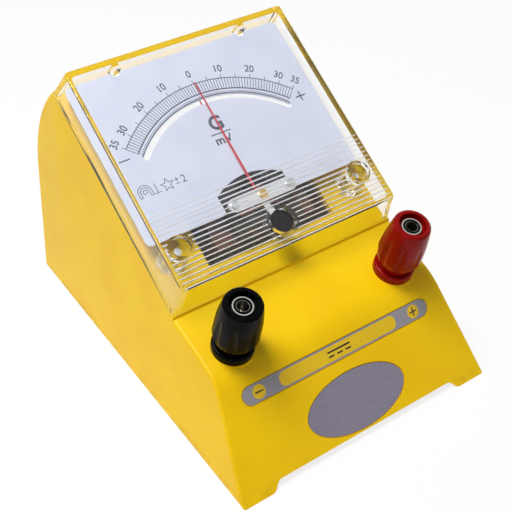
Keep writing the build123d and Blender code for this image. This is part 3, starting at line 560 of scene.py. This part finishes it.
class Sheet:
    def __init__(self, place, lift=0.0):
        self.mesh = bmesh.new()
        self.place = place
        self.lift = lift

    def arc(self, radius, width, start, end, steps, x=0.0, y=0.0):
        # band of a circle about a centre, angles clockwise from straight up
        ends = [self.mesh.verts.new((x, y + radius + side * width / 2, 0)) for side in (-1, 1)]
        edge = self.mesh.edges.new(ends)
        spun = ends + [edge]
        turn = Matrix.Rotation(math.radians(-start), 3, "Z")
        bmesh.ops.rotate(self.mesh, verts=ends, cent=(x, y, 0), matrix=turn)
        bmesh.ops.spin(self.mesh, geom=spun, cent=(x, y, 0), axis=(0, 0, 1), dvec=(0, 0, 0),
                       angle=math.radians(start - end), steps=steps, use_merge=end - start == 360)

    def bar(self, x, y, width, height, turn=0.0):
        matrix = (Matrix.Translation((x, y, 0)) @ Matrix.Rotation(math.radians(turn), 4, "Z")
                  @ Matrix.Diagonal((width, height, 1, 1)))
        bmesh.ops.create_grid(self.mesh, x_segments=1, y_segments=1, size=0.5, matrix=matrix)

    def disc(self, x, y, radius, sides=48):
        matrix = Matrix.Translation((x, y, 0))
        bmesh.ops.create_circle(self.mesh, cap_ends=True, segments=sides, radius=radius, matrix=matrix)

    def panel(self, width, height, corner):
        # one face with rounded corners, about the origin
        made = bmesh.new()
        matrix = Matrix.Diagonal((width, height, 1, 1))
        bmesh.ops.create_grid(made, x_segments=1, y_segments=1, size=0.5, matrix=matrix)
        bmesh.ops.bevel(made, geom=made.verts[:], offset=corner, segments=8, profile=0.5,
                        affect="VERTICES", material=-1)
        flat = bpy.data.meshes.new("panel")
        made.to_mesh(flat)
        made.free()
        self.mesh.from_mesh(flat)
        bpy.data.meshes.remove(flat)

    def outline(self, points, width):
        # strokes along a closed run of points
        for first, last in zip(points, points[1:] + points[:1]):
            self.stroke(first, last, width)

    def stroke(self, first, last, width):
        run = Vector(last) - Vector(first)
        middle = (Vector(first) + Vector(last)) / 2
        turn = math.degrees(math.atan2(run.y, run.x))
        self.bar(middle.x, middle.y, run.length + width, width, turn)

    def word(self, text, x, y, height, turn=0.0, squeeze=1.0, bold=0.0):
        # letters of a given height, centred on a place
        curve = bpy.data.curves.new("letters", "FONT")
        curve.body = text
        curve.offset = bold
        curve.resolution_u = 6
        letters = bpy.data.objects.new("letters", curve)
        bpy.context.scene.collection.objects.link(letters)
        depsgraph = bpy.context.evaluated_depsgraph_get()
        flat = bpy.data.meshes.new_from_object(letters.evaluated_get(depsgraph))
        low = [min(v.co[i] for v in flat.vertices) for i in (0, 1)]
        high = [max(v.co[i] for v in flat.vertices) for i in (0, 1)]
        scale = height / (high[1] - low[1])
        centred = Matrix.Translation((-(low[0] + high[0]) / 2, -(low[1] + high[1]) / 2, 0))
        flat.transform(Matrix.Translation((x, y, 0)) @ Matrix.Rotation(math.radians(turn), 4, "Z")
                       @ Matrix.Diagonal((scale * squeeze, scale, 1, 1)) @ centred)
        self.mesh.from_mesh(flat)
        bpy.data.objects.remove(letters)
        bpy.data.curves.remove(curve)
        bpy.data.meshes.remove(flat)

    def finish(self, name, thickness, material, body, slotName):
        # gives the flat work its thickness and its place on the face
        made = self.mesh
        bmesh.ops.remove_doubles(made, verts=made.verts[:], dist=weldDistance)
        bmesh.ops.recalc_face_normals(made, faces=made.faces[:])
        flipped = [face for face in made.faces if face.normal.z < 0]
        bmesh.ops.reverse_faces(made, faces=flipped)
        bmesh.ops.solidify(made, geom=made.faces[:], thickness=thickness)
        bmesh.ops.recalc_face_normals(made, faces=made.faces[:])
        lowest = min(v.co.z for v in made.verts)
        bmesh.ops.translate(made, verts=made.verts[:], vec=(0, 0, self.lift - lowest))
        bmesh.ops.scale(made, verts=made.verts[:], vec=(mm, mm, mm))
        bmesh.ops.transform(made, matrix=self.place, verts=made.verts[:])
        return newPiece(name, made, material, body)


def newPiece(name, made, material, body):
    mesh = bpy.data.meshes.new(name)
    made.to_mesh(mesh)
    made.free()
    mesh.materials.append(material)
    piece = bpy.data.objects.new(name, mesh)
    bpy.context.scene.collection.objects.link(piece)
    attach(piece, body)
    return piece


# Scale printed on the dial, in millimetres from the pivot
scalePrint = {
    "outerArc": 46.4,
    "innerArc": 42.2,
    "thinArc": 41.15,
    "arcWidth": 0.32,
    "innerBolder": 1.35,
    "thinFiner": 0.5,
    "arcSteps": 90,
    "divisions": 35,
    "degreePerDivision": 45.6 / 35,
    "longEvery": 5,
    "longTick": 47.9,
    "tickWidth": 0.22,
    "thickness": 0.02,
}
dialTop = reach("dial_plate", axisOut, pivotPoint)
dialFace = frameOf(pivotPoint + axisOut * dialTop, (1, 0, 0), panelUp)


def makeScale():
    sheet = Sheet(dialFace)
    end = scalePrint["degreePerDivision"] * scalePrint["divisions"]
    width = scalePrint["arcWidth"]
    steps = scalePrint["arcSteps"]
    sheet.arc(scalePrint["outerArc"], width, -end, end, steps)
    sheet.arc(scalePrint["innerArc"], width * scalePrint["innerBolder"], -end, end, steps)
    sheet.arc(scalePrint["thinArc"], width * scalePrint["thinFiner"], -end, end, steps)
    for division in range(-scalePrint["divisions"], scalePrint["divisions"] + 1):
        turn = division * scalePrint["degreePerDivision"]
        isLong = division % scalePrint["longEvery"] == 0
        outer = scalePrint["longTick"] if isLong else scalePrint["outerArc"]
        length = outer - scalePrint["innerArc"]
        middle = (outer + scalePrint["innerArc"]) / 2
        x = middle * math.sin(math.radians(turn))
        y = middle * math.cos(math.radians(turn))
        sheet.bar(x, y, scalePrint["tickWidth"], length, -turn)
    sheet.finish("scale_print", scalePrint["thickness"], finishes["ink"], "case", "dark_plastic")


# Numerals, signs at the ends and the unit, a letter over a line and two letters
lettering = {
    "numerals": {
        "0": (0, 50.4),
        "10": (11.2, 49.0),
        "20": (22, 45.1),
        "30": (31.1, 39.2),
        "35": (36.0, 35.4),
    },
    "numeralHeight": 2.75,
    "squeeze": 0.92,
    "bold": 0.012,
    "signHeight": 29.0,
    "minus": {"x": -35.5, "length": 4.0, "stroke": 0.42},
    "plus": {"x": 34.5, "length": 3.9, "stroke": 0.5},
    "middle": -0.1,
    "letter": {"text": "G", "y": 30.5, "height": 5.5, "bold": 0.03},
    "line": {"y": 26.5, "length": 7.6, "stroke": 0.4},
    "unit": [("m", -1.9, 23.6, 2.2), ("V", 1.5, 24.0, 3.0)],
    "unitBold": 0.02,
}


def makeNumerals():
    sheet = Sheet(dialFace)
    for text, (x, y) in lettering["numerals"].items():
        for side in (-1, 1) if x else (1,):
            turn = -side * math.degrees(math.atan2(x, y))
            sheet.word(text, side * x, y, lettering["numeralHeight"], turn, lettering["squeeze"],
                       lettering["bold"])
    minus = lettering["minus"]
    plus = lettering["plus"]
    level = lettering["signHeight"]
    sheet.bar(minus["x"], level, minus["length"], minus["stroke"])
    sheet.bar(plus["x"], level, plus["length"], plus["stroke"])
    sheet.bar(plus["x"], level, plus["stroke"], plus["length"])
    letter = lettering["letter"]
    line = lettering["line"]
    sheet.word(letter["text"], lettering["middle"], letter["y"], letter["height"], bold=letter["bold"])
    sheet.bar(lettering["middle"], line["y"], line["length"], line["stroke"])
    for text, x, y, height in lettering["unit"]:
        sheet.word(text, x, y, height, bold=lettering["unitBold"])
    sheet.finish("dial_lettering", scalePrint["thickness"], finishes["ink"], "case", "dark_plastic")


# Type and accuracy symbols at the lower left of the dial: horseshoe, upright use, star, plus-minus 2
symbolPrint = {
    "line": 0.24,
    "magnet": (-34.4, 16.5),
    "magnetRadii": (1.55, 2.35),
    "magnetRise": 0.2,
    "legLength": 1.8,
    "legDrop": 0.7,
    "footLength": 1.04,
    "footPlace": 1.95,
    "footDrop": 1.6,
    "coilHalf": 0.65,
    "coilLow": -0.5,
    "coilHigh": 0.7,
    "coilLine": 0.22,
    "upright": (-30.4, 16.6),
    "uprightHeight": 3.6,
    "groundDrop": 1.7,
    "groundLength": 2.5,
    "uprightLine": 0.26,
    "star": (-26.3, 16.3),
    "starRadii": (2.3, 1.05),
    "accuracy": (-22.7, 16.9),
    "accuracyArm": 1.5,
    "accuracyDrop": 1.4,
    "figure": (-20.3, 16.4),
    "figureHeight": 2.7,
    "figureSqueeze": 0.95,
}


def makeSymbols():
    sheet = Sheet(dialFace)
    mark = symbolPrint
    line = mark["line"]
    x, y = mark["magnet"]
    for radius in mark["magnetRadii"]:
        sheet.arc(radius, line, -90, 90, 18, x, y + mark["magnetRise"])
        for side in (-1, 1):
            sheet.bar(x + side * radius, y - mark["legDrop"], line, mark["legLength"])
    for side in (-1, 1):
        sheet.bar(x + side * mark["footPlace"], y - mark["footDrop"], mark["footLength"], line)
    left, right = x - mark["coilHalf"], x + mark["coilHalf"]
    low, high = y + mark["coilLow"], y + mark["coilHigh"]
    sheet.outline([(left, low), (right, low), (right, high), (left, high)], mark["coilLine"])
    x, y = mark["upright"]
    sheet.bar(x, y, mark["uprightLine"], mark["uprightHeight"])
    sheet.bar(x, y - mark["groundDrop"], mark["groundLength"], mark["uprightLine"])
    x, y = mark["star"]
    star = []
    for point in range(10):
        turn = math.radians(36 * point)
        radius = mark["starRadii"][point % 2]
        star.append((x + radius * math.sin(turn), y + radius * math.cos(turn)))
    sheet.outline(star, line)
    x, y = mark["accuracy"]
    arm = mark["accuracyArm"]
    sheet.bar(x, y, arm, mark["uprightLine"])
    sheet.bar(x, y, mark["uprightLine"], arm)
    sheet.bar(x, y - mark["accuracyDrop"], arm, mark["uprightLine"])
    x, y = mark["figure"]
    sheet.word("2", x, y, mark["figureHeight"], 0, mark["figureSqueeze"])
    sheet.finish("dial_symbols", scalePrint["thickness"], finishes["softInk"], "case", "dark_plastic")


# Grey line that rims the curved slot over the mirror strip
mirrorEdge = {"radius": 40.55, "width": 0.42, "end": 46.4, "steps": 120, "thickness": 0.025}


def makeMirrorEdge():
    edge = Sheet(dialFace)
    end = mirrorEdge["end"]
    edge.arc(mirrorEdge["radius"], mirrorEdge["width"], -end, end, mirrorEdge["steps"])
    edge.finish("mirror_edge", mirrorEdge["thickness"], finishes["softInk"], "case", "dark_plastic")


makeScale()
makeNumerals()
makeSymbols()
makeMirrorEdge()
print("dial printed")

# Front labels: a yellow panel, two signs and a direct-current symbol on the grey bar
frontLabel = {
    "panelHalf": 23.6,
    "panelHeight": 4.9,
    "panelCorner": 2.2,
    "signX": 31.4,
    "signRadius": 2.3,
    "signBar": 3.0,
    "signStroke": 0.5,
    "currentLine": {"rise": 0.75, "length": 9.0, "stroke": 0.6},
    "currentDash": {"step": 3.4, "length": 2.2},
    "thickness": 0.04,
    "inkThickness": 0.02,
}
barFace = faceOf("label_bar", frontUp, frontOut)


def makeFrontLabels():
    yellow = Sheet(barFace)
    yellow.panel(2 * frontLabel["panelHalf"], frontLabel["panelHeight"], frontLabel["panelCorner"])
    for side in (-1, 1):
        yellow.disc(side * frontLabel["signX"], 0, frontLabel["signRadius"])
    yellow.finish("label_panel", frontLabel["thickness"], finishes["yellowFilm"], "case", "yellow_case")
    marks = Sheet(barFace, frontLabel["thickness"])
    stroke = frontLabel["signStroke"]
    for side in (-1, 1):
        marks.bar(side * frontLabel["signX"], 0, frontLabel["signBar"], stroke)
    marks.bar(frontLabel["signX"], 0, stroke, frontLabel["signBar"])
    line = frontLabel["currentLine"]
    dash = frontLabel["currentDash"]
    marks.bar(0, line["rise"], line["length"], line["stroke"])
    for place in (-1, 0, 1):
        marks.bar(place * dash["step"], -line["rise"], dash["length"], line["stroke"])
    marks.finish("label_signs", frontLabel["inkThickness"], finishes["labelInk"], "case", "dark_plastic")


makeFrontLabels()
print("front labels printed")

# Black ring round each 4 mm socket, laid on the end of the stem inside the cap: painted shade in the
# socket mouth. It rides with the washer, so it rises with the cap.
socketShade = {
    "places": {"black": (-32.5, -46.3123, 57.0196), "red": (32.5, -46.3123, 57.0196)},
    "out": (0.0, -0.292372, 0.956305),
    "middleRadius": 2.48,
    "width": 0.8,
    "steps": 64,
    "thickness": 0.06,
}


def makeSocketShades():
    for side, place in socketShade["places"].items():
        out = Vector(socketShade["out"])
        shadeRing = Sheet(frameOf(Vector(place) * mm, (1, 0, 0), out.cross(Vector((1, 0, 0)))))
        # black ring round the socket bore: painted shade in the recess
        shadeRing.arc(socketShade["middleRadius"], socketShade["width"], 0, 360, socketShade["steps"])
        shadeRing.finish("socket_shade_" + side, socketShade["thickness"], finishes["blackCap"],
                   "clamp_" + side, "dark_plastic")


makeSocketShades()
print("socket shade rings placed")

# Floor: matte near the object, so that its shadow stays, and wholly white far off
floorSetting = {
    "size": 3.0,
    "colour": (0.93, 0.93, 0.93, 1.0),
    "whiteShare": 0.8,
    "fadeStart": 0.03,
    "fadeEnd": 0.4,
}


def makeFloor():
    finish = materialFinish("paleFloor")
    matte = finish.node("ShaderNodeBsdfDiffuse", {}, {"Color": floorSetting["colour"]})
    glow = finish.node("ShaderNodeEmission", {}, {"Color": full, "Strength": 1.0})
    path = finish.node("ShaderNodeLightPath", output="Is Camera Ray")
    seen = path.atLeast(path.other("Is Transmission Ray"))
    # squared distance from the middle, in square metres
    squared = finish.along((1, 0, 0)) ** 2.0 + finish.along((0, 1, 0)) ** 2.0
    far = squared.rise(floorSetting["fadeStart"], floorSetting["fadeEnd"])
    share = floorSetting["whiteShare"] + far * (1 - floorSetting["whiteShare"])
    material = finish.done(finish.shaderMix(seen * share, matte, glow))
    made = bmesh.new()
    bmesh.ops.create_grid(made, x_segments=1, y_segments=1, size=floorSetting["size"])
    mesh = bpy.data.meshes.new("floor")
    made.to_mesh(mesh)
    made.free()
    mesh.materials.append(material)
    floor = bpy.data.objects.new("floor", mesh)
    bpy.context.scene.collection.objects.link(floor)


# Studio light; the backdrop is white to the camera and dimmed in reflections
studio = {"level": 0.22, "glossyShare": 0.55}


def makeWorld():
    world = Finish(bpy.data.worlds.new("studio"))
    bpy.context.scene.world = world.owner
    path = world.node("ShaderNodeLightPath", output="Is Camera Ray")
    dimmed = path.other("Is Glossy Ray") * studio["glossyShare"]
    seen = path.atLeast(dimmed).atLeast(path.other("Is Transmission Ray"))
    lit = world.node("ShaderNodeBackground", {}, {"Color": full, "Strength": studio["level"]})
    white = world.node("ShaderNodeBackground", {}, {"Color": full, "Strength": 1.0})
    world.done(world.shaderMix(seen, lit, white), "ShaderNodeOutputWorld")


lamps = {
    "keyLamp": {"place": (-0.2, 0.06, 0.76), "size": 0.3, "power": 5.4},
    "fillLamp": {"place": (-0.55, -0.45, 0.35), "size": 0.6, "power": 0.25},
    "sideLamp": {"place": (0.65, 0.1, 0.3), "size": 0.5, "power": 0.6},
}
lampAim = (0, 0, 0.04)


def makeLamp(name, setting):
    light = bpy.data.lights.new(name, "AREA")
    light.shape = "SQUARE"
    light.size = setting["size"]
    light.energy = setting["power"]
    lamp = bpy.data.objects.new(name, light)
    bpy.context.scene.collection.objects.link(lamp)
    lamp.location = setting["place"]
    aim = Vector(lampAim) - Vector(setting["place"])
    lamp.rotation_mode = "QUATERNION"
    lamp.rotation_quaternion = aim.to_track_quat("-Z", "Y")


makeFloor()
makeWorld()
for lampName, setting in lamps.items():
    makeLamp(lampName, setting)
bpy.context.scene.view_settings.view_transform = "Standard"
print("stage set")
